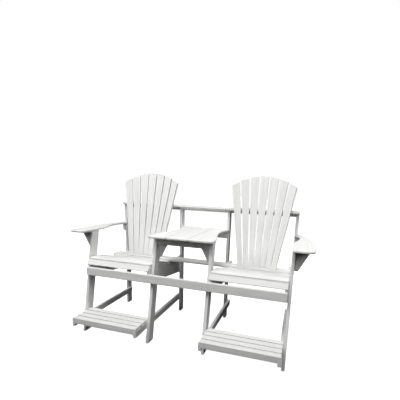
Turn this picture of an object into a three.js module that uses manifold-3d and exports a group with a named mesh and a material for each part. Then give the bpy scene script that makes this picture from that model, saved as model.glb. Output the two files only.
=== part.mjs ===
// Two tall Adirondack chairs joined by a table, on one frame, with a slatted footrest to each chair.
// Millimetres, +Z up, +X to the sitter's left as seen from the front (the viewer's right), front to -Y.
// Places are first worked out from the front foot of the legs, and the whole group is centred at the end.
import * as THREE from "three";
import { mergeVertices } from "three/addons/utils/BufferGeometryUtils.js";
import Module from "manifold-3d";

const wasm = await Module();
wasm.setup();

// Driving dimensions
const board = 24; // thickness of the legs, posts, stringers and long rails
const plank = 18; // thickness of the slats, arms, table and lighter members
const fit = 0.3; // play where a sloping piece meets its neighbour
const unit = 1; // a line of a side view is given by two points this far apart
const weldReach = 0.001; // corners closer than this are one

const chairPitch = 580; // centre to centre of the two front legs of one chair
const tableBay = 450; // centre to centre of the two legs that carry the table
const legDepth = 79; // front legs, measured level from front to back
const legLeanShare = 0.189; // how far a front leg moves back, as a share of its height
const postFront = 662; // front face of the upright rear posts
const postDepth = 60;

const armTop = 836;
const armFront = 40;
const armRear = 740;
const armOverhang = 122; // arm beyond the outer face of its leg
const armNose = 55; // radius of the outer front corner
const armInnerNose = 20;
const armStraight = 300; // how far back both edges of the arm run straight
const armTail = 21; // width of the arm's end beside the post
const armTaperPull = { start: 480, end: 650, spread: 52 }; // shapes the outer edge's curve to the tail
const bite = 45; // depth of the hollows in the arms and in the table, inside the seat faces of the legs
const armBiteDeep = [530, 565]; // the stretch where the hollow is at its deepest
const armBitePull = { start: 390, end: 440, spread: 7 };
const biteReturnPull = { start: 605, end: 636, spread: 18 }; // shapes every hollow's way back to its post

const tableFront = 80;
const tableOverhang = 22; // table beyond the seat side of its legs
const tableGap = 5;
const tableSeamShares = [-0.242, 0.142]; // middles of the gaps between the boards, by the table bay
const tableCorner = { left: 20, right: 40 }; // radii of the front corners
const tableStraight = 120; // how far back the table's outer edges run straight
const tableBiteDeep = [500, 560];
const tableBitePull = { start: 240, end: 370 };

const corbelTop = 104;
const corbelFoot = 24;
const corbelHeight = 156;
const cleatHeight = 58;
const apronSetback = 1.4; // from the top front edge of a leg back to the table's apron
const corbelGap = 1; // between the apron and the brackets behind it

const seatFront = 92; // top front edge of the first flat slat
const seatHeight = 610;
const seatRuns = [86, 77, 75, 72, 52]; // how far each seat slat leads back
const seatDrops = [0, 10, 20, 22, 0]; // and down
const seatSlatGap = 5;
const nosingTilt = THREE.MathUtils.degToRad(31);
const nosingReach = 35; // the sloping front slat's lower edge: in front of the first flat slat
const nosingDrop = 46; // and below its top
const nosingWidth = 42;
const sideGap = 3; // from a slat's end to the leg beside it

const stringerReach = 19; // the stringers' front ends, in front of the first flat slat
const stringerFrontDrop = 140; // from the seat's height down to their lower edge, in front
const stringerRearDrop = 224; // and behind
const frontRailDrop = 137; // from the seat's height down to the front rail's lower edge
const frontRailHeight = 68;

const lowerRailGap = 4; // behind the last seat slat
const lowerRailDrop = 60; // from the seat's height down to the rail's underside
const lowerRailDepth = 108;
const upperRailRise = 450; // from the lower rail's top to the upper rail's underside at its front edge
const upperRailDepth = 140;
const upperRailTilt = THREE.MathUtils.degToRad(16);

const backLean = THREE.MathUtils.degToRad(12.5);
const backSlatSetback = 45; // from the lower rail's front to the face of the slats that stand on it
const backSlats = 7;
const backHeight = 752; // middle slat, from the lower rail up the lean
const backCrownRadius = 464;
const backSpread = 661; // distance up the back where the upper width and pitch are measured
const backSlatFoot = { width: 45.5, pitch: 46.5 };
const backSlatHead = { width: 59, pitch: 78 };

const footrestFront = -140;
const footRailBottom = 115;
const footRailHeight = 51;
const outerRailLap = 28; // the outer long rails stop partway over the rear posts
const footSlats = 4;
const footSlatWidth = 51;
const footSlatGap = 4;
const footCleatHeight = 28;

// Places worked out from them
const armBottom = armTop - plank;
const midLeg = tableBay / 2;
const outerLeg = midLeg + chairPitch;
const chairCentre = (midLeg + outerLeg) / 2;
const seatWidth = chairPitch - board; // between the inner faces of a chair's legs
const slatLength = seatWidth - 2 * sideGap;
const frameWidth = 2 * outerLeg + board;
const postRear = postFront + postDepth;
const footRailTop = footRailBottom + footRailHeight;
const legTopFront = legLeanShare * armBottom;
const apronFront = legTopFront + apronSetback;
const corbelFront = apronFront + plank + corbelGap;
const nosingFoot = [seatFront - nosingReach, seatHeight - nosingDrop];

// Tops of the seat slats in the side view (y, z): a slat lies on each stretch
const seatLine = [[seatFront, seatHeight]];
seatRuns.forEach((run, i) => {
  const [y, z] = seatLine[i];
  seatLine.push([y + run, z - seatDrops[i]]);
});

const stringerFront = seatFront - stringerReach;
const stringerFrontBottom = seatHeight - stringerFrontDrop;
const stringerRearBottom = seatHeight - stringerRearDrop;
const frontRailBottom = seatHeight - frontRailDrop;
const lowerRailFront = seatLine.at(-1)[0] + lowerRailGap;
const lowerRailBottom = seatHeight - lowerRailDrop;
const lowerRailTop = lowerRailBottom + plank;
const upperRailBottom = lowerRailTop + upperRailRise;
const backSlatFront = lowerRailFront + backSlatSetback;

// The plane of the back: u across, v up the lean, w out of the front face
const backOrigin = new THREE.Vector3(0, backSlatFront + plank / Math.cos(backLean), lowerRailTop);
const backUp = new THREE.Vector3(0, Math.sin(backLean), Math.cos(backLean));
const backOut = new THREE.Vector3(0, -Math.cos(backLean), Math.sin(backLean));

const sides = [
  { name: "left", sign: -1 },
  { name: "right", sign: 1 },
];

const loveseat = new THREE.Group();

function paint() {
  return new THREE.MeshStandardMaterial({ color: 0xeeeeec, roughness: 0.55, metalness: 0 });
}

function addPiece(name, geometry, position = [0, 0, 0]) {
  const mesh = new THREE.Mesh(geometry, paint());
  mesh.name = name;
  mesh.position.set(...position);
  loveseat.add(mesh);
}

// A box given by its two opposite corners
function block(low, high) {
  const [width, depth, height] = high.map((value, axis) => value - low[axis]);
  const box = new THREE.BoxGeometry(width, depth, height);
  return box.translate(low[0] + width / 2, low[1] + depth / 2, low[2] + height / 2);
}

function outline(points) {
  return new THREE.Shape(points.map(([x, y]) => new THREE.Vector2(x, y)));
}

function extrude(shape, thickness, curveSegments = 8) {
  return new THREE.ExtrudeGeometry(shape, { depth: thickness, bevelEnabled: false, curveSegments });
}

// An outline drawn in the side view (y, z), as thick as asked from x towards +X
function sideBoard(points, x, thickness = board) {
  const turn = new THREE.Matrix4().makeBasis(
    new THREE.Vector3(0, 1, 0),
    new THREE.Vector3(0, 0, 1),
    new THREE.Vector3(1, 0, 0),
  );
  return extrude(outline(points), thickness).applyMatrix4(turn).translate(x, 0, 0);
}

// An outline drawn in the front view (x, z), one plank thick from y towards the back
function frontBoard(points, y) {
  const turn = new THREE.Matrix4().makeBasis(
    new THREE.Vector3(1, 0, 0),
    new THREE.Vector3(0, 0, 1),
    new THREE.Vector3(0, -1, 0),
  );
  return extrude(outline(points), plank).applyMatrix4(turn).translate(0, y + plank, 0);
}

// A piece drawn in the plane of the back, set into its place
function intoBack(geometry) {
  const turn = new THREE.Matrix4().makeBasis(new THREE.Vector3(1, 0, 0), backUp, backOut);
  return geometry.applyMatrix4(turn).translate(...backOrigin);
}

function solid(geometry) {
  const bare = geometry.clone().deleteAttribute("normal").deleteAttribute("uv");
  const merged = mergeVertices(bare, weldReach);
  const vertProperties = merged.attributes.position.array;
  const triVerts = new Uint32Array(merged.index.array);
  return new wasm.Manifold(new wasm.Mesh({ numProp: 3, vertProperties, triVerts }));
}

function surface(body) {
  const mesh = body.getMesh();
  const geometry = new THREE.BufferGeometry();
  geometry.setAttribute("position", new THREE.BufferAttribute(mesh.vertProperties, 3));
  geometry.setIndex(new THREE.BufferAttribute(mesh.triVerts, 1));
  geometry.computeVertexNormals();
  return geometry;
}

// Where two straight lines meet, each given by two points of a side view
function crossing([[ax, ay], [bx, by]], [[cx, cy], [dx, dy]]) {
  const spread = (bx - ax) * (dy - cy) - (by - ay) * (dx - cx);
  const t = ((cx - ax) * (dy - cy) - (cy - ay) * (dx - cx)) / spread;
  return [ax + t * (bx - ax), ay + t * (by - ay)];
}

// A line shifted square to itself, to the right of its own direction
function shifted([[ax, ay], [bx, by]], distance) {
  const length = Math.hypot(bx - ax, by - ay);
  const step = [((by - ay) / length) * distance, (-(bx - ax) / length) * distance];
  return [
    [ax + step[0], ay + step[1]],
    [bx + step[0], by + step[1]],
  ];
}

// A vertical line of a side view
function upright(y) {
  return [
    [y, 0],
    [y, unit],
  ];
}

// Frame: legs, posts and the sloping stringers that carry the seat
const legOutline = [
  [0, 0],
  [legDepth, 0],
  [legTopFront + legDepth, armBottom],
  [legTopFront, armBottom],
];

// The upper rail's front edge lies against the backs of the slats, and it drops towards the rear
const slatBacks = [
  [backOrigin.y, backOrigin.z],
  [backOrigin.y + backUp.y, backOrigin.z + backUp.z],
];
const railFace = shifted(slatBacks, fit);
const railLevel = [
  [0, upperRailBottom],
  [unit, upperRailBottom],
];
const railCorner = crossing(railFace, railLevel);
const railHeel = [
  railCorner[0] + upperRailDepth * Math.cos(upperRailTilt),
  railCorner[1] - upperRailDepth * Math.sin(upperRailTilt),
];
const railUnderside = [railCorner, railHeel];
const railTopSide = shifted(railUnderside, -board);
const upperRailOutline = [railCorner, railHeel, railTopSide[1], crossing(railTopSide, railFace)];

const postCut = shifted(railUnderside, fit);
const postOutline = [
  [postFront, 0],
  [postRear, 0],
  crossing(postCut, upright(postRear)),
  crossing(postCut, upright(postFront)),
];

// The sloping front slat: up its face from the lower edge, and square back from its face
function nosingPoint(up, back) {
  return [
    nosingFoot[0] + up * Math.sin(nosingTilt) + back * Math.cos(nosingTilt),
    nosingFoot[1] + up * Math.cos(nosingTilt) - back * Math.sin(nosingTilt),
  ];
}

// The stringers' top edges follow the undersides of the slats
const seatStretches = seatLine.slice(1).map((point, i) => [seatLine[i], point]);
const beds = [
  upright(stringerFront),
  [nosingPoint(0, plank + fit), nosingPoint(unit, plank + fit)],
  ...seatStretches.map((stretch) => shifted(stretch, plank + fit)),
  upright(lowerRailFront - fit),
];
const stringerBed = beds.slice(1).map((bed, i) => crossing(beds[i], bed));
const stringerOutline = [
  [stringerFront, stringerFrontBottom],
  [postRear, stringerRearBottom],
  [postRear, lowerRailBottom],
  [lowerRailFront - fit, lowerRailBottom],
  ...stringerBed.reverse(),
];

// A side is the sign of x. The seat lies between an outer leg and a mid leg.
for (const { name, sign } of sides) {
  const places = [
    { role: "outer", leg: outerLeg, stringer: outerLeg - board },
    { role: "inner", leg: midLeg, stringer: midLeg + board },
  ];
  for (const { role, leg, stringer } of places) {
    addPiece(`${name}_${role}_front_leg`, sideBoard(legOutline, sign * leg - board / 2));
    addPiece(`${name}_${role}_rear_post`, sideBoard(postOutline, sign * leg - board / 2));
    addPiece(`${name}_${role}_seat_stringer`, sideBoard(stringerOutline, sign * stringer - board / 2));
  }
}

// Rails that run across both chairs
const halfFrame = frameWidth / 2;
const railEnd = outerLeg - board / 2;
addPiece(
  "front_seat_rail",
  block(
    [-railEnd, stringerFront - board, frontRailBottom],
    [railEnd, stringerFront, frontRailBottom + frontRailHeight],
  ),
);
addPiece(
  "lower_back_rail",
  block(
    [-halfFrame, lowerRailFront, lowerRailBottom],
    [halfFrame, lowerRailFront + lowerRailDepth, lowerRailTop],
  ),
);
addPiece("upper_back_rail", sideBoard(upperRailOutline, -halfFrame, frameWidth));

// Seat slats
function slatAcross(points, centre) {
  return sideBoard(points, centre - slatLength / 2, slatLength);
}

const nosingOutline = [
  nosingPoint(0, 0),
  nosingPoint(0, plank),
  nosingPoint(nosingWidth, plank),
  nosingPoint(nosingWidth, 0),
];

// A slat under one stretch of the seat line, short of both its ends by half a gap
function seatSlatOutline([from, to], trimStart, trimEnd) {
  const run = new THREE.Vector2(to[0] - from[0], to[1] - from[1]);
  const length = run.length();
  run.normalize();
  const along = (distance) => [from[0] + run.x * distance, from[1] + run.y * distance];
  const top = [along(trimStart), along(length - trimEnd)];
  const bottom = shifted(top, plank);
  return [bottom[0], bottom[1], top[1], top[0]];
}

for (const { name, sign } of sides) {
  const centre = sign * chairCentre;
  addPiece(`${name}_seat_front_slat`, slatAcross(nosingOutline, centre));
  seatStretches.forEach((stretch, i) => {
    const trimStart = i === 0 ? 0 : seatSlatGap / 2;
    const trimEnd = i === seatStretches.length - 1 ? 0 : seatSlatGap / 2;
    const shape = seatSlatOutline(stretch, trimStart, trimEnd);
    addPiece(`${name}_seat_slat_${i + 1}`, slatAcross(shape, centre));
  });
}

// Fan back: tapered slats whose heads follow one arc
const crownCentre = backHeight - backCrownRadius;

// Where a slat's edge, running up from foot to head, meets the arc of the crown
function crownPoint(foot, head) {
  const rise = new THREE.Vector2(head - foot, backSpread).normalize();
  const from = new THREE.Vector2(foot, -crownCentre);
  const along = from.dot(rise);
  const reach = -along + Math.sqrt(along ** 2 - from.lengthSq() + backCrownRadius ** 2);
  return new THREE.Vector2(foot, 0).addScaledVector(rise, reach);
}

function backSlatShape(number) {
  const foot = [-1, 1].map((edge) => number * backSlatFoot.pitch + (edge * backSlatFoot.width) / 2);
  const head = [-1, 1].map((edge) => number * backSlatHead.pitch + (edge * backSlatHead.width) / 2);
  const [topLeft, topRight] = [0, 1].map((edge) => crownPoint(foot[edge], head[edge]));
  const [from, to] = [topRight, topLeft].map((point) => Math.atan2(point.y - crownCentre, point.x));
  // The foot runs on below the rail's top, where the level cut takes it off
  const drift = [0, 1].map((edge) => (plank * (head[edge] - foot[edge])) / backSpread);
  const shape = new THREE.Shape();
  shape.moveTo(foot[0] - drift[0], -plank);
  shape.lineTo(foot[1] - drift[1], -plank);
  shape.lineTo(topRight.x, topRight.y);
  shape.absarc(0, crownCentre, backCrownRadius, from, to, false);
  shape.closePath();
  return shape;
}

const belowRailTop = solid(block([-halfFrame, 0, 0], [halfFrame, postRear, lowerRailTop + fit]));

for (const { name, sign } of sides) {
  for (let i = 0; i < backSlats; i++) {
    const slat = intoBack(extrude(backSlatShape(i - (backSlats - 1) / 2), plank, 4));
    slat.translate(sign * chairCentre, 0, 0);
    addPiece(`${name}_back_slat_${i + 1}`, surface(solid(slat).subtract(belowRailTop)));
  }
}

// Arms, each with a wide rounded front, a hollow inner edge and a tail beside the post
function armShape(sign) {
  const inner = outerLeg - board / 2;
  const outer = outerLeg + board / 2 + armOverhang;
  const hollow = inner + bite;
  const postSide = outerLeg + board / 2 + fit;
  const tail = postSide + armTail;
  const postFace = postFront - fit;
  const [deepStart, deepEnd] = armBiteDeep;
  const dip = armBitePull;
  const back = biteReturnPull;
  const taper = armTaperPull;
  const bulge = tail + taper.spread;
  const arm = new THREE.Shape();
  arm.moveTo(sign * (inner + armInnerNose), armFront);
  arm.lineTo(sign * (outer - armNose), armFront);
  arm.quadraticCurveTo(sign * outer, armFront, sign * outer, armFront + armNose);
  arm.lineTo(sign * outer, armStraight);
  arm.bezierCurveTo(sign * outer, taper.start, sign * bulge, taper.end, sign * tail, armRear);
  arm.lineTo(sign * postSide, armRear);
  arm.lineTo(sign * postSide, postFace);
  arm.lineTo(sign * inner, postFace);
  arm.bezierCurveTo(
    sign * (inner + back.spread),
    back.end,
    sign * hollow,
    back.start,
    sign * hollow,
    deepEnd,
  );
  arm.lineTo(sign * hollow, deepStart);
  arm.bezierCurveTo(
    sign * hollow,
    dip.end,
    sign * (inner + dip.spread),
    dip.start,
    sign * inner,
    armStraight,
  );
  arm.lineTo(sign * inner, armFront + armInnerNose);
  arm.quadraticCurveTo(sign * inner, armFront, sign * (inner + armInnerNose), armFront);
  return arm;
}

// A bracket under an arm or the table: its upright side lies on the leg at x and it reaches by sign
function corbel(x, sign) {
  const points = [
    [x, armBottom],
    [x + sign * corbelTop, armBottom],
    [x + sign * corbelFoot, armBottom - corbelHeight],
    [x, armBottom - corbelHeight],
  ];
  return frontBoard(points, corbelFront);
}

for (const { name, sign } of sides) {
  const outerFace = sign * (outerLeg + board / 2);
  const tableFace = sign * (midLeg - board / 2);
  const blockFaces = [outerFace, outerFace + sign * plank].sort((a, b) => a - b);
  addPiece(`${name}_arm`, extrude(armShape(sign), plank), [0, 0, armBottom]);
  addPiece(
    `${name}_arm_block`,
    block(
      [blockFaces[0], postFront - plank / 2, armBottom - cleatHeight],
      [blockFaces[1], postRear, armBottom],
    ),
  );
  addPiece(`${name}_arm_corbel`, corbel(outerFace, sign));
  addPiece(`${name}_table_corbel`, corbel(tableFace, -sign));
}

// Table: three boards between the chairs, on an apron and a rear cleat
const cleatEnd = midLeg - board / 2;
addPiece(
  "table_front_apron",
  block([-cleatEnd, apronFront, armBottom - cleatHeight], [cleatEnd, apronFront + plank, armBottom]),
);
addPiece(
  "table_rear_cleat",
  block([-cleatEnd, postFront, armBottom - cleatHeight], [cleatEnd, postFront + plank, armBottom]),
);

const tableEdge = midLeg + board / 2 + tableOverhang;
const notchX = cleatEnd - fit;
const notchY = postFront - fit;
const [leftSeam, rightSeam] = tableSeamShares.map((share) => share * tableBay);

// A board with a rounded front corner, a hollow outer edge and a notch for the post; sign is its side
function tableEndBoard(seam, sign, cornerRadius) {
  const edge = sign * tableEdge;
  const face = sign * (midLeg + board / 2);
  const hollow = face - sign * bite;
  const [deepStart, deepEnd] = tableBiteDeep;
  const dip = tableBitePull;
  const back = biteReturnPull;
  const shape = new THREE.Shape();
  shape.moveTo(seam, tableFront);
  shape.lineTo(edge - sign * cornerRadius, tableFront);
  shape.quadraticCurveTo(edge, tableFront, edge, tableFront + cornerRadius);
  shape.lineTo(edge, tableStraight);
  shape.bezierCurveTo(edge, dip.start, hollow, dip.end, hollow, deepStart);
  shape.lineTo(hollow, deepEnd);
  shape.bezierCurveTo(hollow, back.start, face - sign * back.spread, back.end, face, notchY);
  shape.lineTo(sign * notchX, notchY);
  shape.lineTo(sign * notchX, postRear);
  shape.lineTo(seam, postRear);
  shape.closePath();
  return extrude(shape, plank);
}

const leftBoard = tableEndBoard(leftSeam - tableGap / 2, -1, tableCorner.left);
const rightBoard = tableEndBoard(rightSeam + tableGap / 2, 1, tableCorner.right);
addPiece("table_board_left", leftBoard, [0, 0, armBottom]);
addPiece("table_board_right", rightBoard, [0, 0, armBottom]);
addPiece(
  "table_board_middle",
  block(
    [leftSeam + tableGap / 2, tableFront, armBottom],
    [rightSeam - tableGap / 2, postRear, armTop],
  ),
);

// Footrests: slats on the front ends of two long rails that run back to the rear posts
function longRail(x, rear) {
  return block([x - board / 2, footrestFront, footRailBottom], [x + board / 2, rear, footRailTop]);
}

for (const { name, sign } of sides) {
  const centre = sign * chairCentre;
  const slatReach = slatLength / 2;
  const cleatReach = seatWidth / 2 - board;
  let deck = solid(longRail(sign * (outerLeg - board), postFront + outerRailLap));
  for (let i = 0; i < footSlats; i++) {
    const y = footrestFront + i * (footSlatWidth + footSlatGap);
    const slat = block(
      [centre - slatReach, y, footRailTop],
      [centre + slatReach, y + footSlatWidth, footRailTop + plank],
    );
    deck = deck.add(solid(slat));
  }
  addPiece(`${name}_footrest_deck`, surface(deck));
  addPiece(`${name}_footrest_inner_rail`, longRail(sign * (midLeg + board), postRear));
  addPiece(
    `${name}_footrest_front_cleat`,
    block(
      [centre - cleatReach, footrestFront, footRailTop - footCleatHeight],
      [centre + cleatReach, footrestFront + plank, footRailTop],
    ),
  );
}

// The origin is on the floor under the middle of the whole
const extent = new THREE.Box3().setFromObject(loveseat);
loveseat.position.y = -(extent.min.y + extent.max.y) / 2;

export default loveseat;
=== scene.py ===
# %% [markdown]
# # A tall Adirondack loveseat in white paint
#
# Two fan-back chairs at balcony height stand side by side with a small table between them, and
# each has a slatted footrest in front. The frame of the model comes ready made: every board is in
# its place. This lesson gives those boards what a drawing leaves out: edges that a hand can rest
# on, paint over grain, and the screws that hold them. The footrests, the front slats of the seats
# and the backs are made afresh, because the real ones are spaced, sawn and curved more finely than
# the frame draws them.

# %% The ready-made boards
import math

import bpy
from mathutils import Matrix, Vector
from mathutils.bvhtree import BVHTree


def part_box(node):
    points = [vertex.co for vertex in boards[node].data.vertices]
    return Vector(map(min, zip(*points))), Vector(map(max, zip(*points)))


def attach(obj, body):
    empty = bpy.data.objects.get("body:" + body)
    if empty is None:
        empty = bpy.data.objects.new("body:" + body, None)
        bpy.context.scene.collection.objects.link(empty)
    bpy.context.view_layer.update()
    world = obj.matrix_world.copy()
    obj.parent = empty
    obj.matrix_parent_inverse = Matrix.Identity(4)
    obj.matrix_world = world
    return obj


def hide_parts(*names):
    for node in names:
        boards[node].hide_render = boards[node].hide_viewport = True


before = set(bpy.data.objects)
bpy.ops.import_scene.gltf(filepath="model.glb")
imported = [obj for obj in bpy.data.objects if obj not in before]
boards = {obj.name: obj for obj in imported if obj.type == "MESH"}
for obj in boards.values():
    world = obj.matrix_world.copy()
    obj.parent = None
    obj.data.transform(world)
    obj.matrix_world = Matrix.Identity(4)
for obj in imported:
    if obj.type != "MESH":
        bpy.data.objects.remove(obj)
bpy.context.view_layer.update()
BODY = "root"
SIDES = {"left": -1, "right": 1}  # the two chairs, and their side of the middle along X
ROLES = ("inner", "outer")  # a chair's frames: the one by the table and the one by the arm
X, Y, Z = 0, 1, 2
MM = 0.001
bpy.ops.object.select_all(action="DESELECT")

# %% [markdown]
# ## The camera
#
# The photograph was taken from the right of the middle at about eye height, with the camera turned
# a little to the left, looking slightly down and rolled by two degrees. Lines that are level and
# parallel on the object run to their own vanishing points in the picture, and these points give
# the lens and the turning. The picture was cut from a larger one, so the middle of the lens isn't
# the middle of the picture: the camera's shift says by how much.

# %% Camera
PICTURE = 400
FOCAL_PIXELS = 295.36
LENS_MIDDLE = (209.96, 246.46)
SENSOR = 36.0
EYE = Vector((0.8133, -2.17895, 1.2286))
YAW = 0.2886
PITCH_DOWN = 0.2076
ROLL = 0.0348

forward = Vector(
    (
        -math.sin(YAW) * math.cos(PITCH_DOWN),
        math.cos(YAW) * math.cos(PITCH_DOWN),
        -math.sin(PITCH_DOWN),
    )
)
level_right = Vector((math.cos(YAW), math.sin(YAW), 0))
square_up = level_right.cross(forward)
right = math.cos(ROLL) * level_right + math.sin(ROLL) * square_up
up = math.cos(ROLL) * square_up - math.sin(ROLL) * level_right
facing = Matrix((right, up, -forward)).transposed().to_4x4()

bpy.ops.object.camera_add()
camera = bpy.context.object
camera.name = "camera"
camera.data.sensor_width = SENSOR
camera.data.lens = FOCAL_PIXELS * SENSOR / PICTURE
camera.data.shift_x = (PICTURE / 2 - LENS_MIDDLE[0]) / PICTURE
camera.data.shift_y = (LENS_MIDDLE[1] - PICTURE / 2) / PICTURE
camera.matrix_world = Matrix.Translation(EYE) @ facing
bpy.context.scene.camera = camera
print("lens", round(camera.data.lens, 2), "mm")

# %% [markdown]
# ## Eased edges
#
# Nobody leaves a sharp corner on a chair arm: a router with a round bit runs along every board
# before it is painted. Most edges get a small bit, and the slats a smaller one still. The arms,
# the table and the two rails that people touch and knock against, one over the front and one
# behind the backs, get a larger one. The boards in the model are loose triangles with sharp
# corners, and five modifiers ease them without touching the boards themselves. Weld joins the
# triangles, and Decimate melts the flat ones together. A small node group turns smooth shading on.
# Bevel rounds every edge of more than thirty degrees, and Weighted Normal keeps the flats looking
# flat beside the rounded edges.

# %% A node group that shades a board smooth
smooth_shading = bpy.data.node_groups.new("smooth_shading", "GeometryNodeTree")
smooth_shading.is_modifier = True
for end in ("INPUT", "OUTPUT"):
    smooth_shading.interface.new_socket("Geometry", in_out=end, socket_type="NodeSocketGeometry")
board_in, shade, board_out = (
    smooth_shading.nodes.new(kind)
    for kind in ("NodeGroupInput", "GeometryNodeSetShadeSmooth", "NodeGroupOutput")
)
smooth_shading.links.new(board_in.outputs[0], shade.inputs["Geometry"])
smooth_shading.links.new(shade.outputs["Geometry"], board_out.inputs[0])
print("node group of", len(smooth_shading.nodes), "nodes")

# %% Easing a board's edges
EASED = 3 * MM
EASED_STEPS = 3
SLAT_EASED = 1.5 * MM
SLAT_STEPS = 2
ROUNDED = 6 * MM
ROUNDED_STEPS = 4
ROUNDED_BOARDS = ("left_arm", "right_arm", "table_board", "upper_back_rail", "front_seat_rail")
WELD_REACH = 0.02 * MM
SHARP = math.radians(30)
FLAT = math.radians(0.5)
FLATS_ONLY = 100  # a Weighted Normal's weight at which only the largest face at a corner counts


def ease_edges(board, radius, steps):
    """Rounds a board's sharp edges by live modifiers, which leave its mesh as it is."""
    board.modifiers.new("weld", "WELD").merge_threshold = WELD_REACH
    flats = board.modifiers.new("flats", "DECIMATE")
    flats.decimate_type = "DISSOLVE"
    flats.angle_limit = FLAT
    board.modifiers.new("smooth", "NODES").node_group = smooth_shading
    edge = board.modifiers.new("edges", "BEVEL")
    edge.width = radius
    edge.segments = steps
    edge.limit_method = "ANGLE"
    edge.angle_limit = SHARP
    board.modifiers.new("normals", "WEIGHTED_NORMAL").weight = FLATS_ONLY


rounded = [name for name in boards if name.startswith(ROUNDED_BOARDS) and "_arm_" not in name]
for name, board in boards.items():
    if name in rounded:
        ease_edges(board, ROUNDED, ROUNDED_STEPS)
    elif "slat" in name:
        ease_edges(board, SLAT_EASED, SLAT_STEPS)
    else:
        ease_edges(board, EASED, EASED_STEPS)
print("rounded:", ", ".join(rounded), "- eased:", len(boards) - len(rounded))

# %% [markdown]
# ## The footrests, board by board
#
# In the ready-made frame the four slats of a footrest and the long rail at its outer end are one
# solid, and the slats nearly touch. On the real one they are five boards, and the gaps between the
# slats are wide enough to show as dark lines from a few steps away. So the five are cut one by one
# and stand in for that solid. A slat is a cube that is stretched to its size and has all its edges
# eased; the other three are copies of it, moved back by one slat and one gap.

# %% Cutting a board
def saw_board(name, middle, size, tilt=0.0):
    """A square-edged board round its middle, tipped back about X."""
    bpy.ops.mesh.primitive_cube_add(size=1, location=middle, rotation=(-tilt, 0, 0))
    board = bpy.context.object
    board.name = name
    board.scale = size
    bpy.ops.object.transform_apply(location=True, rotation=True, scale=True)
    return board


def rout_edges(board, radius, steps):
    """Rounds every edge of a square-edged board and shades its flats flat."""
    bpy.ops.object.mode_set(mode="EDIT")
    bpy.ops.mesh.select_all(action="SELECT")
    bpy.ops.mesh.bevel(offset=radius, segments=steps, affect="EDGES")
    bpy.ops.object.mode_set(mode="OBJECT")
    bpy.ops.object.shade_smooth()
    board.modifiers.new("normals", "WEIGHTED_NORMAL").weight = FLATS_ONLY
    bpy.ops.object.modifier_apply(modifier="normals")
    board.select_set(False)


def cut_board(name, low, high, radius, steps):
    """A level board from its lowest to its highest corner, with eased edges."""
    board = saw_board(name, (low + high) / 2, high - low)
    rout_edges(board, radius, steps)
    return board


def copy_piece(piece, name, move):
    """A copy with its own mesh, moved and turned by a matrix."""
    copy = piece.copy()
    copy.data = piece.data.copy()
    copy.name = name
    copy.data.transform(move)
    bpy.context.collection.objects.link(copy)
    return copy


def belongs(piece):
    """The piece moves with the loveseat."""
    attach(piece, BODY)


# %% Footrest slats and outer rails
SLAT_THICK = 18 * MM
RAIL_THICK = 24 * MM
FOOT_SLATS = 4
FOOT_SLAT = 45 * MM
FOOT_GAP = 12 * MM
SIDE_GAP = 3 * MM

footrests = {}
for side, sign in SIDES.items():
    node = f"{side}_footrest_deck"
    low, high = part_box(node)
    slat_bottom = high.z - SLAT_THICK
    inner_leg, outer_leg = (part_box(f"{side}_{role}_front_leg") for role in ROLES)
    leg_face = outer_leg[0].x if sign > 0 else outer_leg[1].x
    rail_from, rail_to = sorted((leg_face, leg_face - sign * RAIL_THICK))
    slat_inner_end = (inner_leg[1].x if sign > 0 else inner_leg[0].x) + sign * SIDE_GAP
    slat_from, slat_to = sorted((slat_inner_end, leg_face - sign * SIDE_GAP))
    rail = cut_board(
        f"{side}_footrest_outer_rail",
        Vector((rail_from, low.y, low.z)),
        Vector((rail_to, high.y, slat_bottom)),
        EASED,
        EASED_STEPS,
    )
    first = cut_board(
        f"{side}_footrest_slat_1",
        Vector((slat_from, low.y, slat_bottom)),
        Vector((slat_to, low.y + FOOT_SLAT, high.z)),
        SLAT_EASED,
        SLAT_STEPS,
    )
    slats = [first]
    for i in range(1, FOOT_SLATS):
        back = Matrix.Translation((0, i * (FOOT_SLAT + FOOT_GAP), 0))
        slats.append(copy_piece(first, f"{side}_footrest_slat_{i + 1}", back))
    for piece in (rail, *slats):
        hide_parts(node)
        belongs(piece)
    footrests[side] = (rail, slats)
print({side: len(slats) for side, (rail, slats) in footrests.items()}, "footrest slats")

# %% [markdown]
# ## The sloping slats at the front of the seats
#
# The front slat slopes down so that the seat's edge doesn't press into the legs. On the real seat
# a dark line runs between it and the flat slat behind, because the two don't touch: the sloping
# slat's upper end is sawn off plumb, and the gap drains the seat. A box is tipped to the slope,
# bisected by a plumb plane whose far side is thrown away, and filled where it was cut.

# %% Sloping front slats
NOSING_TILT = math.radians(31)
NOSING_WIDTH = 42 * MM
PLUMB_CUT = 4 * MM  # behind the slope's upper corner

nosings = {}
for side in SIDES:
    node = f"{side}_seat_front_slat"
    low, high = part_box(node)
    size = (high.x - low.x, SLAT_THICK, NOSING_WIDTH)
    nosing = saw_board(f"{side}_seat_sloping_slat", (low + high) / 2, size, NOSING_TILT)
    upper_corner = low.y + NOSING_WIDTH * math.sin(NOSING_TILT)
    bpy.ops.object.mode_set(mode="EDIT")
    bpy.ops.mesh.select_all(action="SELECT")
    bpy.ops.mesh.bisect(
        plane_co=(0, upper_corner + PLUMB_CUT, 0),
        plane_no=(0, 1, 0),
        use_fill=True,
        clear_outer=True,
    )
    bpy.ops.object.mode_set(mode="OBJECT")
    rout_edges(nosing, SLAT_EASED, SLAT_STEPS)
    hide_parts(node)
    belongs(nosing)
    nosings[side] = nosing
print("sloping slats of", len(nosings["left"].data.polygons), "faces each")

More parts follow.
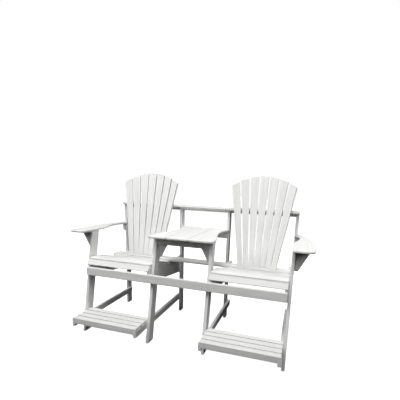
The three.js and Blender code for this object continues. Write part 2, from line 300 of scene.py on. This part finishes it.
# %% [markdown]
# ## Backs that curve round the sitter
#
# The ready-made fans are flat. On the real ones the outer slats stand a little forward and are
# turned inwards, so that a back rests in a hollow: looked at from one side, the near gaps show
# daylight and the far ones show the dark edges of the slats. Each slat is copied from its board,
# made a little wider towards its head, and set on a shallow cone by one matrix. The cone's radius
# grows with the fan's spread. The slats in the middle are housed over the rail behind them, so
# that the fan stays where it was, and a block packs out each outermost slat.

# %% How a fan spreads
BACK_LEAN = math.radians(12.5)
BACK_SLATS = 7
FROM_MIDDLE = [i - (BACK_SLATS - 1) / 2 for i in range(BACK_SLATS)]  # -3 on the left to 3
FOOT_PITCH = 46.5 * MM
HEAD_PITCH = 78 * MM
PITCH_SPAN = 661 * MM  # up the lean, from where the foot's pitch holds to where the head's does
SPREAD = (HEAD_PITCH - FOOT_PITCH) / PITCH_SPAN

rail_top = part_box("lower_back_rail")[1].z


def up_the_lean(height):
    """How far up the back a height above the floor is, from the top of the rail it stands on."""
    return (height - rail_top) / math.cos(BACK_LEAN)


def at(node, axis, *shares):
    """Places along one axis of a node's box, by shares from its low to its high side."""
    low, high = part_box(node)
    return [low[axis] + share * (high[axis] - low[axis]) for share in shares]


def middle_of(node, axis):
    """The middle of a node's box along one axis."""
    return at(node, axis, 0.5)[0]


stringer_x = {
    side: [middle_of(f"{side}_{role}_seat_stringer", X) for role in ROLES] for side in SIDES
}
chair_middle = {side: sum(places) / len(places) for side, places in stringer_x.items()}
print("chairs' middles at", {side: round(x, 3) for side, x in chair_middle.items()})

# %% Setting a slat on the cone
TURN = math.radians(4.5)  # from one slat to the next
HOUSED = 0.17  # how far the middle slat is set back, as a share of the pitch
WIDER = 0.09  # at the head, as a share of the slat's width

lean_up = Vector((0, math.sin(BACK_LEAN), math.cos(BACK_LEAN)))
lean_out = Vector((0, -math.cos(BACK_LEAN), math.sin(BACK_LEAN)))
slat_corners = boards["left_back_slat_4"].data.vertices
front_plane = max(vertex.co.dot(lean_out) for vertex in slat_corners)
fan_foot_y = (rail_top * lean_out.z - front_plane + SLAT_THICK / 2) / -lean_out.y


def widen(slat, number, middle):
    """Moves a flat fan's slat's edges away from its centre line, more so towards the head."""
    for vertex in slat.data.vertices:
        rise = up_the_lean(vertex.co.z)
        centre_line = middle + number * (FOOT_PITCH + SPREAD * rise)
        vertex.co.x += WIDER * rise / PITCH_SPAN * (vertex.co.x - centre_line)


def on_cone(number, middle):
    """The matrix that takes a flat fan's slat, counted from the middle one, to the curved fan."""
    angle = number * TURN
    foot = Vector((middle, fan_foot_y, rail_top))
    flat = Matrix((Vector((1, 0, 0)), lean_up, lean_out)).to_4x4() @ Matrix.Translation(-foot)
    sine, cosine = math.sin(angle), math.cos(angle)
    aside = sine / TURN - cosine * number
    turned = Matrix.Identity(4)
    turned[0][:] = (cosine, aside * SPREAD, -sine, aside * FOOT_PITCH)
    turned[2][:] = (sine, -sine * number * SPREAD, cosine, -sine * number * FOOT_PITCH)
    forward = (1 - cosine) / TURN - HOUSED
    slope = SPREAD / math.cos(BACK_LEAN)
    pushed = Matrix.Identity(4)
    pushed[1][2] = -forward * slope
    pushed[1][3] = -forward * (FOOT_PITCH - slope * rail_top)
    return pushed @ flat.inverted() @ turned @ flat


print("the fans stand on the rail at y =", round(fan_foot_y, 3), "m")

# %% Curved fans
fans = {side: [] for side in SIDES}
for side, fan in fans.items():
    for i, number in enumerate(FROM_MIDDLE, start=1):
        node = f"{side}_back_slat_{i}"
        slat = bpy.data.objects.new(f"{side}_curved_back_slat_{i}", boards[node].data.copy())
        bpy.context.collection.objects.link(slat)
        widen(slat, number, chair_middle[side])
        slat.data.transform(on_cone(number, chair_middle[side]))
        ease_edges(slat, SLAT_EASED, SLAT_STEPS)
        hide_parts(node)
        belongs(slat)
        fan.append(slat)
print("outermost slats are turned by", round(math.degrees(FROM_MIDDLE[-1] * TURN), 1), "degrees")

# %% [markdown]
# The outermost slats stand clear of the rail, which is straight, so a small block of wood fills
# each gap and takes the screw. It is as deep as the gap, and hidden behind its slat. The rail's
# front edge leans with the backs, so the block is let into it by a few millimetres.

# %% Blocks between the outermost slats and the rail
BLOCK_WIDTH = 34 * MM
BLOCK_FORWARD = 13 * MM
BLOCK_LAP = 6 * MM
BLOCK_BELOW = 2 * MM  # the rail's highest edge

blocks = []
rail_low, rail_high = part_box("upper_back_rail")
block_foot = middle_of("upper_back_rail", Z)
block_top = rail_high.z - BLOCK_BELOW
share = up_the_lean(rail_low.z) / PITCH_SPAN
for side, fan in fans.items():
    for end, slat in (("left", fan[0]), ("right", fan[-1])):
        head = [v.co.x for v in slat.data.vertices if v.co.z > rail_low.z]
        foot = [v.co.x for v in slat.data.vertices if v.co.z < rail_low.z]
        slat_x = sum(foot) / len(foot) * (1 - share) + sum(head) / len(head) * share
        low = Vector((slat_x - BLOCK_WIDTH / 2, rail_low.y - BLOCK_FORWARD, block_foot))
        high = Vector((slat_x + BLOCK_WIDTH / 2, rail_low.y + BLOCK_LAP, block_top))
        block = cut_board(f"{side}_back_block_{end}", low, high, SLAT_EASED, SLAT_STEPS)
        belongs(block)
        blocks.append(block)
print(len(blocks), "blocks")

# %% [markdown]
# ## Screws
#
# Countersunk exterior screws hold every slat, arm and rail, and they are painted over with the
# rest, so they hardly show from a step away. One head is modelled: a short disc of twelve sides
# whose top is inset and pushed in for the driver. It has a few dozen faces only, because it is
# repeated more than a hundred times. A ray is shot at a board wherever a screw goes through it,
# and says how high the board's surface is there and which way it faces.

# %% One screw head
HEAD_RADIUS = 4.2 * MM
HEAD_DEPTH = 1.4 * MM
HEAD_PROUD = 0.3 * MM
HEAD_SIDES = 12
SOCKET_SHARE = 0.45
SOCKET_DEPTH = 0.9 * MM
FACES_UP = 0.9  # a face's normal along Z, from which on it belongs to the top

bpy.ops.mesh.primitive_cylinder_add(
    vertices=HEAD_SIDES,
    radius=HEAD_RADIUS,
    depth=HEAD_DEPTH,
    location=(0, 0, HEAD_PROUD - HEAD_DEPTH / 2),
)
screw_head = bpy.context.object
bpy.ops.object.transform_apply(location=True, rotation=True, scale=True)
bpy.context.tool_settings.mesh_select_mode = (False, False, True)
bpy.ops.object.mode_set(mode="EDIT")
bpy.ops.mesh.select_all(action="DESELECT")
bpy.ops.object.mode_set(mode="OBJECT")
for face in screw_head.data.polygons:
    face.select = face.normal.z > FACES_UP
bpy.ops.object.mode_set(mode="EDIT")
bpy.ops.mesh.inset(thickness=HEAD_RADIUS * (1 - SOCKET_SHARE))
bpy.ops.mesh.extrude_region_move(TRANSFORM_OT_translate={"value": (0, 0, -SOCKET_DEPTH)})
bpy.ops.object.mode_set(mode="OBJECT")
screw_head.select_set(False)
print("one head has", len(screw_head.data.polygons), "faces")

# %% Driving screws into a board
RAY_REACH = 3.0
DOWN = Vector((0, 0, -1))
BACKWARD = Vector((0, 1, 0))
screw_groups = []


def drive_screws(board, way, points):
    """Sets a head where each ray, shot along a way through a point, first meets the board."""
    surface = BVHTree.FromObject(board, bpy.context.evaluated_depsgraph_get())
    heads = []
    for point in points:
        place, normal, _, _ = surface.ray_cast(Vector(point) - RAY_REACH * way, way)
        turn = normal.to_track_quat("Z", "Y").to_matrix().to_4x4()
        heads.append(copy_piece(screw_head, "head", Matrix.Translation(place) @ turn))
    for head in heads:
        head.select_set(True)
    bpy.context.view_layer.objects.active = heads[0]
    bpy.ops.object.join()
    heads[0].select_set(False)
    heads[0].name = f"{board.name}_screws"
    belongs(heads[0])
    screw_groups.append((heads[0], len(points)))


def screws_so_far():
    return sum(count for _, count in screw_groups)


# %% [markdown]
# A seat slat is screwed to the stringer under each of its ends, with two screws if it is wide and
# one if it is narrow. The footrest slats sit on their long rails in the same way. Each back slat
# has a screw at the height of the upper rail. There the fan has already opened, so its screws are
# further apart than the slats' feet.

# %% Screws in slats
PAIR = (0.28, 0.72)
ONE = (0.5,)
SEAT_SLATS = 5  # the rearmost is narrow
BACK_SCREW = 0.75  # of the way up the upper rail

back_screw_z = at("upper_back_rail", Z, BACK_SCREW)[0]
back_screw_pitch = FOOT_PITCH + SPREAD * up_the_lean(back_screw_z)
for side in SIDES:
    for i in range(1, SEAT_SLATS + 1):
        name = f"{side}_seat_slat_{i}"
        rows = at(name, Y, *(ONE if i == SEAT_SLATS else PAIR))
        drive_screws(boards[name], DOWN, [(x, y, 0) for x in stringer_x[side] for y in rows])
    nosing_z = middle_of(f"{side}_seat_front_slat", Z)
    drive_screws(nosings[side], BACKWARD, [(x, 0, nosing_z) for x in stringer_x[side]])
    for slat in footrests[side][1]:
        slat_y = sum(corner[Y] for corner in slat.bound_box) / len(slat.bound_box)
        drive_screws(slat, DOWN, [(x, slat_y, 0) for x in stringer_x[side]])
    for number, slat in zip(FROM_MIDDLE, fans[side]):
        screw_x = chair_middle[side] + math.sin(number * TURN) / TURN * back_screw_pitch
        drive_screws(slat, BACKWARD, [(screw_x, 0, back_screw_z)])
print(screws_so_far(), "screws in slats")

# %% [markdown]
# The long rails are screwed to the stringers and to the tops of the posts. The arms and the table
# are screwed down into the legs, the brackets and the cleats under them. The stringers and the
# footrests' long rails are screwed through the legs and posts from the side that the sitter
# doesn't touch.

# %% Screws in rails, arms and table
NEAR_EDGES = (0.2, 0.8)
TABLE_SPOTS = {"left": (0.5, 0.82), "middle": NEAR_EDGES, "right": (0.18, 0.5)}

for side, sign in SIDES.items():
    corbel, block = f"{side}_arm_corbel", f"{side}_arm_block"
    corbel_x, corbel_y = middle_of(corbel, X), middle_of(corbel, Y)
    block_x, block_y = middle_of(block, X), middle_of(block, Y)
    leg_x = middle_of(f"{side}_outer_front_leg", X)
    arm_points = [(leg_x, corbel_y, 0), (corbel_x, corbel_y, 0), (block_x, block_y, 0)]
    drive_screws(boards[f"{side}_arm"], DOWN, arm_points)
    inward = Vector((-sign, 0, 0))
    drive_screws(boards[block], inward, [(0, block_y, z) for z in at(block, Z, *PAIR)])

table_rows = [middle_of(name, Y) for name in ("table_front_apron", "table_rear_cleat")]
for part, spots in TABLE_SPOTS.items():
    name = f"table_board_{part}"
    drive_screws(boards[name], DOWN, [(x, y, 0) for x in at(name, X, *spots) for y in table_rows])

all_stringers = [x for places in stringer_x.values() for x in places]
rows = at("lower_back_rail", Y, *NEAR_EDGES)
drive_screws(boards["lower_back_rail"], DOWN, [(x, y, 0) for x in all_stringers for y in rows])
heights = at("front_seat_rail", Z, *PAIR)
front_points = [(x, 0, z) for x in all_stringers for z in heights]
drive_screws(boards["front_seat_rail"], BACKWARD, front_points)
posts = [f"{side}_{role}_rear_post" for side in SIDES for role in ROLES]
post_y = middle_of(posts[0], Y)
drive_screws(boards["upper_back_rail"], DOWN, [(middle_of(post, X), post_y, 0) for post in posts])
print(screws_so_far(), "screws so far")

# %% Screws in legs and posts
LEG_LEAN_SHARE = 0.189
LEG_MIDDLE = 39.5 * MM  # behind the front of the leg's foot
LEG_SCREWS = (100 * MM, 40 * MM)  # below the stringers' highest corner
POST_SCREWS = (150 * MM, 80 * MM)

leg_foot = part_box("left_inner_front_leg")[0].y
stringer_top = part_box("left_inner_seat_stringer")[1].z
foot_rail_z = middle_of("left_footrest_inner_rail", Z)
leg_heights = [foot_rail_z, *(stringer_top - drop for drop in LEG_SCREWS)]
post_heights = [foot_rail_z, *(stringer_top - drop for drop in POST_SCREWS)]
leg_points = [(0, leg_foot + LEG_MIDDLE + LEG_LEAN_SHARE * z, z) for z in leg_heights]
post_points = [(0, post_y, z) for z in post_heights]
for side, sign in SIDES.items():
    for role, outward in (("outer", sign), ("inner", -sign)):
        way = Vector((-outward, 0, 0))
        drive_screws(boards[f"{side}_{role}_front_leg"], way, leg_points)
        drive_screws(boards[f"{side}_{role}_rear_post"], way, post_points)
bpy.data.objects.remove(screw_head)
print(screws_so_far(), "screws in", len(screw_groups), "boards")

# %% [markdown]
# ## White paint over grain
#
# The finish is a satin exterior paint over softwood boards. Paint has a dielectric's gloss, so its
# IOR is 1.5 and nothing in it is metallic. Two things keep it from looking like plastic: the
# raised grain that shows through a thin coat as fine ridges along each board, and a figure of
# slightly greyer streaks. Both follow the board, so every direction in which boards run gets its
# own copy of the material, turned with it. Real ridges are about 1.5 mm apart. They are drawn
# 5 mm apart, and the streaks 14 mm, because finer ones wouldn't show in a picture of the whole
# loveseat.

# %% Colours and nodes
PAINT_WHITE = "E9E9E8"
PAINT_GREY = "E0E0DE"
FLOOR_WHITE = "F7F7F7"


def linear(code):
    """A colour written as sRGB hex digits, as the linear values that a shader takes."""
    values = []
    for start in (0, 2, 4):
        value = int(code[start : start + 2], 16) / 255
        values.append(value / 12.92 if value <= 0.04045 else ((value + 0.055) / 1.055) ** 2.4)
    return (*values, 1.0)


def add_node(tree, kind, settings=None, inputs=None):
    """Adds a node; each input is set to a value or linked from another node's output."""
    node = tree.nodes.new("ShaderNode" + kind)
    for name, value in (settings or {}).items():
        setattr(node, name, value)
    for name, value in (inputs or {}).items():
        if isinstance(value, bpy.types.NodeSocket):
            tree.links.new(value, node.inputs[name])
        else:
            node.inputs[name].default_value = value
    return node


print("the paint's white is", [round(value, 3) for value in linear(PAINT_WHITE)])

# %% The paint
RIDGES = (260 * MM, 5 * MM, 5 * MM)
STREAKS = (420 * MM, 14 * MM, 14 * MM)
RIDGE_DETAIL, STREAK_DETAIL = 3.0, 4.0
GRAIN_ROUGHNESS = 0.6
STREAKS_FROM, STREAKS_TO = 0.42, 0.72  # the noise at which the paint is all white, and all grey
SATIN_FROM, SATIN_TO = 0.45, 0.62  # the shader's roughness between the ridges and on them
RIDGE_HEIGHT = 0.3 * MM
RIDGE_STRENGTH = 0.5
PAINT_IOR = 1.5
MIX_A, MIX_B, MIX_RESULT = 6, 7, 2  # a Mix node's sockets for colours


def satin_paint(name, turn=(0.0, 0.0, 0.0)):
    """Paint over grain that runs along X once it is turned, in radians about X, Y and Z."""
    material = bpy.data.materials.new(name)
    material.use_nodes = True
    tree = material.node_tree
    place = add_node(tree, "TexCoord").outputs["Object"]
    patterns = []
    for size, detail in ((RIDGES, RIDGE_DETAIL), (STREAKS, STREAK_DETAIL)):
        mapping = {"Vector": place, "Rotation": turn, "Scale": size}
        along = add_node(tree, "Mapping", {"vector_type": "TEXTURE"}, mapping).outputs["Vector"]
        noise = {"Vector": along, "Scale": 1.0, "Detail": detail, "Roughness": GRAIN_ROUGHNESS}
        patterns.append(add_node(tree, "TexNoise", None, noise).outputs["Fac"])
    ridges, streaks = patterns
    figure = {"Value": streaks, "From Min": STREAKS_FROM, "From Max": STREAKS_TO}
    streak = add_node(tree, "MapRange", None, figure)
    colour = add_node(
        tree,
        "Mix",
        {"data_type": "RGBA"},
        {0: streak.outputs["Result"], MIX_A: linear(PAINT_WHITE), MIX_B: linear(PAINT_GREY)},
    )
    satin = {"Value": ridges, "To Min": SATIN_FROM, "To Max": SATIN_TO}
    dull = add_node(tree, "MapRange", None, satin)
    raised = {"Height": ridges, "Distance": RIDGE_HEIGHT, "Strength": RIDGE_STRENGTH}
    bump = add_node(tree, "Bump", None, raised)
    shader = tree.nodes["Principled BSDF"]
    shader.inputs["IOR"].default_value = PAINT_IOR
    tree.links.new(colour.outputs[MIX_RESULT], shader.inputs["Base Color"])
    tree.links.new(dull.outputs["Result"], shader.inputs["Roughness"])
    tree.links.new(bump.outputs["Normal"], shader.inputs["Normal"])
    return material


# %% [markdown]
# Which way does each board run? Slats, rails, apron and cleats lie across the loveseat, arms,
# table boards and the footrests' long rails run from front to back, and posts stand. Front legs
# and backs lean, and the stringers fall towards the rear. The seven slats of a fan also spread:
# each is turned a little more than its neighbour, and its grain is turned with it.

# %% The paint for each way that boards run
QUARTER = math.pi / 2
LEG_LEAN = math.atan(LEG_LEAN_SHARE)
STRINGER_FALL = math.atan(-0.129)  # metres up for each metre to the rear
FAN_STEP = math.atan(SPREAD)


def standing(lean, spread=0.0):
    """The turn that stands the grain up, leans it back and spreads it to the side."""
    up = Matrix.Rotation(-QUARTER, 3, "Y")
    to_side = Matrix.Rotation(spread, 3, "Y")
    back = Matrix.Rotation(-lean, 3, "X")
    return tuple((back @ to_side @ up).to_euler())


across = satin_paint("satin_paint_grain_across")
front_to_back = satin_paint("satin_paint_grain_front_to_back", (0.0, 0.0, QUARTER))
fall = Matrix.Rotation(STRINGER_FALL, 3, "X") @ Matrix.Rotation(QUARTER, 3, "Z")
falling = satin_paint("satin_paint_grain_falling", tuple(fall.to_euler()))
upright = satin_paint("satin_paint_grain_upright", standing(0.0))
leaning = satin_paint("satin_paint_grain_leaning", standing(LEG_LEAN))
spreading = [
    satin_paint(f"satin_paint_grain_fan_{i}", standing(BACK_LEAN, number * FAN_STEP))
    for i, number in enumerate(FROM_MIDDLE, start=1)
]
turns = [round(math.degrees(number * FAN_STEP), 1) for number in FROM_MIDDLE]
print("grain on a fan spreads by", turns, "degrees")

# %% Painting every board
GRAIN = {
    "front_leg": leaning,
    "rear_post": upright,
    "arm_block": upright,
    "corbel": upright,
    "seat_stringer": falling,
    "_arm": front_to_back,
    "table_board": front_to_back,
    "inner_rail": front_to_back,
    "outer_rail": front_to_back,
}


def paint(piece):
    """Gives a piece the paint whose grain runs its way; what isn't in the list lies across."""
    paint_for = across
    if "back_slat" in piece.name:
        paint_for = spreading[int(piece.name[-1]) - 1]
    else:
        for part, material in GRAIN.items():
            if part in piece.name:
                paint_for = material
                break
    piece.data.materials.clear()
    piece.data.materials.append(paint_for)


painted = [*boards.values(), *nosings.values(), *fans["left"], *fans["right"], *blocks]
for rail, slats in footrests.values():
    painted += [rail, *slats]
for piece in painted:
    paint(piece)
print(len(painted), "boards painted")

# %% [markdown]
# The screw heads are zinc-plated steel under the same coat. The brush leaves a thicker and a
# thinner film on so small a thing, so the paint on them is blotched a few millimetres across, and
# smoother than on wood because no grain lifts it.

# %% Painted screws
BLOTCH = 3 * MM
BLOTCH_DETAIL = 2.0
FILM_HEIGHT = 0.1 * MM
FILM_STRENGTH = 0.5
STEEL_ROUGHNESS = 0.42

painted_steel = bpy.data.materials.new("painted_zinc_plated_steel")
painted_steel.use_nodes = True
steel_tree = painted_steel.node_tree
steel_place = add_node(steel_tree, "TexCoord").outputs["Object"]
blotch_inputs = {"Vector": steel_place, "Scale": 1 / BLOTCH, "Detail": BLOTCH_DETAIL}
blotches = add_node(steel_tree, "TexNoise", None, blotch_inputs).outputs["Fac"]
steel_colour = add_node(
    steel_tree,
    "Mix",
    {"data_type": "RGBA"},
    {0: blotches, MIX_A: linear(PAINT_WHITE), MIX_B: linear(PAINT_GREY)},
)
film_inputs = {"Height": blotches, "Distance": FILM_HEIGHT, "Strength": FILM_STRENGTH}
film = add_node(steel_tree, "Bump", None, film_inputs)
steel_shader = steel_tree.nodes["Principled BSDF"]
steel_shader.inputs["IOR"].default_value = PAINT_IOR
steel_shader.inputs["Roughness"].default_value = STEEL_ROUGHNESS
steel_tree.links.new(steel_colour.outputs[MIX_RESULT], steel_shader.inputs["Base Color"])
steel_tree.links.new(film.outputs["Normal"], steel_shader.inputs["Normal"])
for group, _ in screw_groups:
    group.data.materials.clear()
    group.data.materials.append(painted_steel)
print("painted", len(screw_groups), "groups of screws")

# %% [markdown]
# ## Floor and light
#
# The photograph shows the loveseat against pure white. The floor here is a pale sweep, as in a
# studio: it glows a little, less under the loveseat than around it, so that it stays white in the
# picture and keeps only a trace of shadow by the feet. It is kept out of the light that bounces
# between surfaces, or it would brighten every underside.

# %% Floor
FLOOR_SIZE = 60
FLOOR_ROUGHNESS = 0.9
GLOW_NEAR, GLOW_FAR = 0.94, 1.15
GLOW_FROM, GLOW_TO = 0.8, 1.8  # metres from the middle

bpy.ops.mesh.primitive_plane_add(size=FLOOR_SIZE)
floor = bpy.context.object
floor.name = "floor"
floor.visible_diffuse = False
floor.visible_glossy = False
floor_paint = bpy.data.materials.new("matt_floor_paint")
floor_paint.use_nodes = True
floor_tree = floor_paint.node_tree
floor_place = add_node(floor_tree, "TexCoord").outputs["Object"]
away = add_node(floor_tree, "VectorMath", {"operation": "LENGTH"}, {0: floor_place})
glow_inputs = {
    "Value": away.outputs["Value"],
    "From Min": GLOW_FROM,
    "From Max": GLOW_TO,
    "To Min": GLOW_NEAR,
    "To Max": GLOW_FAR,
}
glow = add_node(floor_tree, "MapRange", None, glow_inputs)
floor_shader = floor_tree.nodes["Principled BSDF"]
floor_shader.inputs["Base Color"].default_value = linear(FLOOR_WHITE)
floor_shader.inputs["Emission Color"].default_value = linear(FLOOR_WHITE)
floor_shader.inputs["Roughness"].default_value = FLOOR_ROUGHNESS
floor_tree.links.new(glow.outputs["Result"], floor_shader.inputs["Emission Strength"])
floor.data.materials.append(floor_paint)
print("floor of", FLOOR_SIZE, "by", FLOOR_SIZE, "m")

# %% [markdown]
# Six large softboxes light it from five metres away. The strongest hangs high in front, so tops
# are nearly white, fronts are light grey and undersides are dark. Lower ones fill in from the
# sides and from straight ahead, and two behind keep the back of the loveseat from going black. The
# sky behind is white to the camera and gives no light.

# %% Softboxes
SOFTBOX_SIZE = 2.5
SOFTBOX_REACH = 5.0
AIM = Vector((0, 0, 0.7))
SOFTBOXES = {
    # degrees above the horizon, degrees aside from straight in front towards +X, watts
    "high_front": (65, 0, 156),
    "low_right": (35, 60, 62),
    "low_left": (35, -60, 108),
    "low_front": (30, 0, 30),
    "high_behind": (60, 180, 48),
    "low_behind": (25, 180, 60),
}

for name, (above, aside, watts) in SOFTBOXES.items():
    above, aside = math.radians(above), math.radians(aside)
    level = math.cos(above)
    way = Vector((level * math.sin(aside), -level * math.cos(aside), math.sin(above)))
    bpy.ops.object.light_add(type="AREA", location=AIM + SOFTBOX_REACH * way)
    softbox = bpy.context.object
    softbox.name = name
    softbox.visible_camera = False
    softbox.data.shape = "DISK"
    softbox.data.size = SOFTBOX_SIZE
    softbox.data.energy = watts
    softbox.rotation_euler = way.to_track_quat("Z", "Y").to_euler()
print(len(SOFTBOXES), "softboxes")

# %% White sky
world = bpy.data.worlds.new("white_backdrop")
bpy.context.scene.world = world
world.use_nodes = True
backdrop = world.node_tree
seen = add_node(backdrop, "LightPath").outputs["Is Camera Ray"]
backdrop.nodes["Background"].inputs["Color"].default_value = linear("FFFFFF")
backdrop.links.new(seen, backdrop.nodes["Background"].inputs["Strength"])
bpy.context.scene.view_settings.view_transform = "Standard"
print("sky and view transform set")
